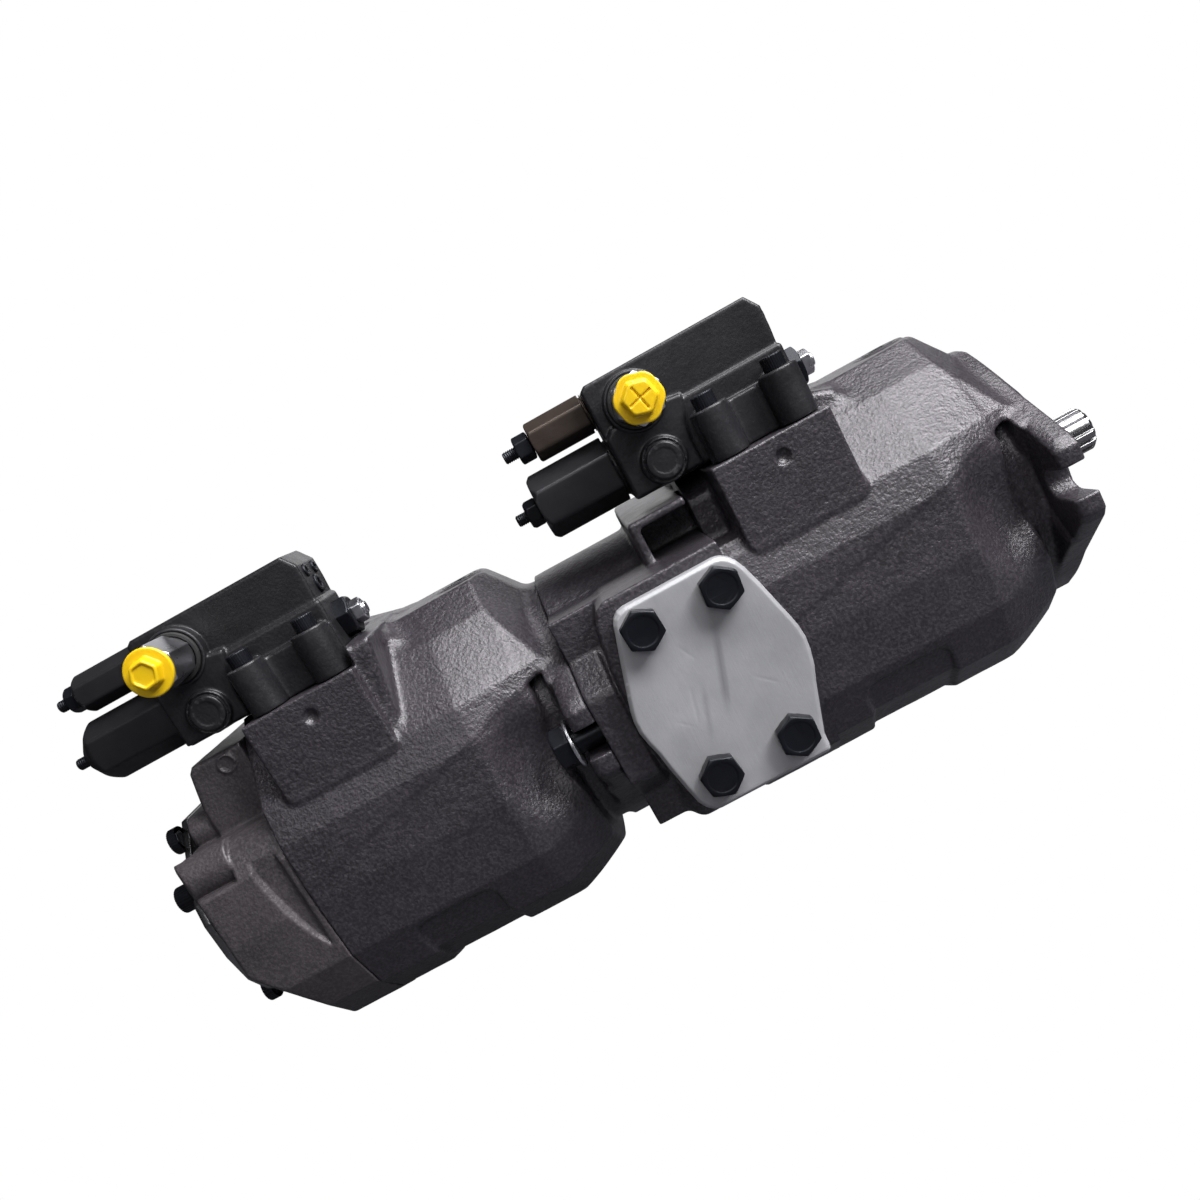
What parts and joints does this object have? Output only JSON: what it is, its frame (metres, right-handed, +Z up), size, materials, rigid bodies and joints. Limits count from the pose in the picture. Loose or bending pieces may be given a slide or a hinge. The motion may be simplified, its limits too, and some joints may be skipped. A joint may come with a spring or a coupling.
{
  "type": "tandem axial piston pump",
  "caption": "Two variable swashplate pumps joined nose to tail on one splined shaft line, each with a control valve on top; the front one has a covered suction port.",
  "frame": {"origin": "centre of the drive shaft's end face, on the shaft axis", "axes": "+X along the drive shaft and away from the pump, +Z up through the control valves, suction side on -Y"},
  "size_m": [0.4957, 0.1928, 0.2113],
  "materials": {
    "cast_iron_grey": "sand-cast iron under a thin dark purple-grey coat, coarse grain",
    "bright_steel": "machined and ground",
    "cover_grey": "matt light grey with faint scratches",
    "black_oxide": "black oxide, slightly oily",
    "valve_black": "black semi-gloss over fine casting",
    "adjuster_black": "black, turned, satin",
    "adjuster_brown": "brownish black, satin",
    "plated_steel": "zinc plated",
    "yellow_plastic": "moulded, satin",
    "bronze": "lapped bronze",
    "seal_rubber": "matt rubber"
  },
  "bodies": {
    "casing": {"front_housing": "cast_iron_grey", "rear_housing": "cast_iron_grey", "middle_port_plate": "cast_iron_grey", "rear_port_plate": "cast_iron_grey", "rear_cover": "bright_steel", "front_bearing": "bright_steel", "suction_cover_plate": "cover_grey", "suction_cover_bolt_1": "black_oxide", "suction_cover_bolt_2": "black_oxide", "suction_cover_bolt_3": "black_oxide", "suction_cover_bolt_4": "black_oxide", "flange_bolt_near": "black_oxide", "flange_bolt_far": "black_oxide", "front_drain_plug": "black_oxide", "rear_drain_plug": "black_oxide", "front_valve_body": "valve_black", "rear_valve_body": "valve_black", "front_pressure_cap": "adjuster_black", "rear_pressure_cap": "adjuster_black", "front_flow_cap": "adjuster_brown", "rear_flow_cap": "adjuster_brown", "front_pilot_fitting": "plated_steel", "rear_pilot_fitting": "plated_steel", "front_valve_plate": "bronze", "rear_valve_plate": "bronze", "shaft_seal": "seal_rubber"},
    "front_rotor": {"drive_shaft": "bright_steel", "shaft_coupling": "bright_steel", "front_cylinder_block": "bright_steel"},
    "rear_rotor": {"rear_shaft": "bright_steel", "rear_cylinder_block": "bright_steel"},
    "front_swash": {"front_swashplate": "bright_steel"},
    "rear_swash": {"rear_swashplate": "bright_steel"},
    "front_retainer": {"front_retainer_plate": "bronze"},
    "front_control": {"front_control_piston": "bright_steel"},
    "rear_control": {"rear_control_piston": "bright_steel"},
    "piston_1_body": {"piston_1": "bright_steel"},
    "piston_2_body": {"piston_2": "bright_steel"},
    "piston_3_body": {"piston_3": "bright_steel"},
    "piston_4_body": {"piston_4": "bright_steel"},
    "piston_5_body": {"piston_5": "bright_steel"},
    "piston_6_body": {"piston_6": "bright_steel"},
    "piston_7_body": {"piston_7": "bright_steel"},
    "piston_8_body": {"piston_8": "bright_steel"},
    "piston_9_body": {"piston_9": "bright_steel"},
    "front_flow_spool_body": {"front_flow_spool": "bright_steel"},
    "front_flow_screw_body": {"front_flow_screw": "black_oxide"},
    "front_flow_nut_body": {"front_flow_lock_nut": "black_oxide"},
    "front_pressure_spool_body": {"front_pressure_spool": "bright_steel"},
    "front_pressure_screw_body": {"front_pressure_screw": "black_oxide"},
    "front_pressure_nut_body": {"front_pressure_lock_nut": "black_oxide"},
    "front_cap_body": {"front_pilot_cap": "yellow_plastic"},
    "rear_flow_spool_body": {"rear_flow_spool": "bright_steel"},
    "rear_flow_screw_body": {"rear_flow_screw": "black_oxide"},
    "rear_flow_nut_body": {"rear_flow_lock_nut": "black_oxide"},
    "rear_pressure_spool_body": {"rear_pressure_spool": "bright_steel"},
    "rear_pressure_screw_body": {"rear_pressure_screw": "black_oxide"},
    "rear_cap_body": {"rear_pilot_cap": "yellow_plastic"}
  },
  "joints": [
    {"name": "shaft_spin", "type": "hinge", "parent": "casing", "child": "front_rotor", "pos_m": [0, 0, 0], "axis": [1, 0, 0], "continuous": true},
    {"name": "rear_shaft_spin", "type": "hinge", "parent": "casing", "child": "rear_rotor", "pos_m": [-0.2702, 0, 0], "axis": [1, 0, 0], "continuous": true},
    {"name": "front_swash_tilt", "type": "hinge", "parent": "casing", "child": "front_swash", "pos_m": [-0.0992, 0, 0], "axis": [0, 1, 0], "range_deg": [-16, 0]},
    {"name": "rear_swash_tilt", "type": "hinge", "parent": "casing", "child": "rear_swash", "pos_m": [-0.3282, 0, 0], "axis": [0, 1, 0], "range_deg": [-16, 0]},
    {"name": "front_retainer_spin", "type": "hinge", "parent": "front_swash", "child": "front_retainer", "pos_m": [-0.0992, 0, 0], "axis": [1, 0, 0], "continuous": true},
    {"name": "front_control_travel", "type": "slide", "parent": "casing", "child": "front_control", "axis": [1, 0, 0], "range_m": [-0.016, 0]},
    {"name": "rear_control_travel", "type": "slide", "parent": "casing", "child": "rear_control", "axis": [1, 0, 0], "range_m": [-0.016, 0]},
    {"name": "piston_1_stroke", "type": "slide", "parent": "front_rotor", "child": "piston_1_body", "axis": [1, 0, 0], "range_m": [0, 0.0194]},
    {"name": "piston_2_stroke", "type": "slide", "parent": "front_rotor", "child": "piston_2_body", "axis": [1, 0, 0], "range_m": [0, 0.0194]},
    {"name": "piston_3_stroke", "type": "slide", "parent": "front_rotor", "child": "piston_3_body", "axis": [1, 0, 0], "range_m": [0, 0.0194]},
    {"name": "piston_4_stroke", "type": "slide", "parent": "front_rotor", "child": "piston_4_body", "axis": [1, 0, 0], "range_m": [0, 0.0194]},
    {"name": "piston_5_stroke", "type": "slide", "parent": "front_rotor", "child": "piston_5_body", "axis": [1, 0, 0], "range_m": [0, 0.0194]},
    {"name": "piston_6_stroke", "type": "slide", "parent": "front_rotor", "child": "piston_6_body", "axis": [1, 0, 0], "range_m": [0, 0.0194]},
    {"name": "piston_7_stroke", "type": "slide", "parent": "front_rotor", "child": "piston_7_body", "axis": [1, 0, 0], "range_m": [0, 0.0194]},
    {"name": "piston_8_stroke", "type": "slide", "parent": "front_rotor", "child": "piston_8_body", "axis": [1, 0, 0], "range_m": [0, 0.0194]},
    {"name": "piston_9_stroke", "type": "slide", "parent": "front_rotor", "child": "piston_9_body", "axis": [1, 0, 0], "range_m": [0, 0.0194]},
    {"name": "front_flow_spool_travel", "type": "slide", "parent": "casing", "child": "front_flow_spool_body", "axis": [1, 0, 0], "range_m": [-0.003, 0.003]},
    {"name": "front_flow_screw_travel", "type": "slide", "parent": "casing", "child": "front_flow_screw_body", "axis": [1, 0, 0], "range_m": [-0.003, 0.003]},
    {"name": "front_flow_nut_turn", "type": "hinge", "parent": "casing", "child": "front_flow_nut_body", "pos_m": [-0.2412, -0.036, 0.1209], "axis": [-1, 0, 0], "range_deg": [0, 90]},
    {"name": "front_pressure_spool_travel", "type": "slide", "parent": "casing", "child": "front_pressure_spool_body", "axis": [1, 0, 0], "range_m": [-0.003, 0.003]},
    {"name": "front_pressure_screw_travel", "type": "slide", "parent": "casing", "child": "front_pressure_screw_body", "axis": [1, 0, 0], "range_m": [-0.003, 0.003]},
    {"name": "front_pressure_nut_turn", "type": "hinge", "parent": "casing", "child": "front_pressure_nut_body", "pos_m": [-0.2412, -0.036, 0.0938], "axis": [-1, 0, 0], "range_deg": [0, 90]},
    {"name": "front_cap_pull", "type": "slide", "parent": "casing", "child": "front_cap_body", "axis": [0, -1, 0], "range_m": [0, 0.025]},
    {"name": "rear_flow_spool_travel", "type": "slide", "parent": "casing", "child": "rear_flow_spool_body", "axis": [1, 0, 0], "range_m": [-0.003, 0.003]},
    {"name": "rear_flow_screw_travel", "type": "slide", "parent": "casing", "child": "rear_flow_screw_body", "axis": [1, 0, 0], "range_m": [-0.003, 0.003]},
    {"name": "rear_flow_nut_turn", "type": "hinge", "parent": "casing", "child": "rear_flow_nut_body", "pos_m": [-0.4702, -0.036, 0.1209], "axis": [-1, 0, 0], "range_deg": [0, 90]},
    {"name": "rear_pressure_spool_travel", "type": "slide", "parent": "casing", "child": "rear_pressure_spool_body", "axis": [1, 0, 0], "range_m": [-0.003, 0.003]},
    {"name": "rear_pressure_screw_travel", "type": "slide", "parent": "casing", "child": "rear_pressure_screw_body", "axis": [1, 0, 0], "range_m": [-0.003, 0.003]},
    {"name": "rear_cap_pull", "type": "slide", "parent": "casing", "child": "rear_cap_body", "axis": [0, -1, 0], "range_m": [0, 0.025]}
  ],
  "couplings": [
    {"joint": "rear_shaft_spin", "follows": "shaft_spin", "ratio": 1},
    {"joint": "front_retainer_spin", "follows": "shaft_spin", "ratio": 1},
    {"joint": "front_control_travel", "follows": "front_swash_tilt", "m_per_rad": 0.057},
    {"joint": "rear_control_travel", "follows": "rear_swash_tilt", "m_per_rad": 0.057}
  ]
}
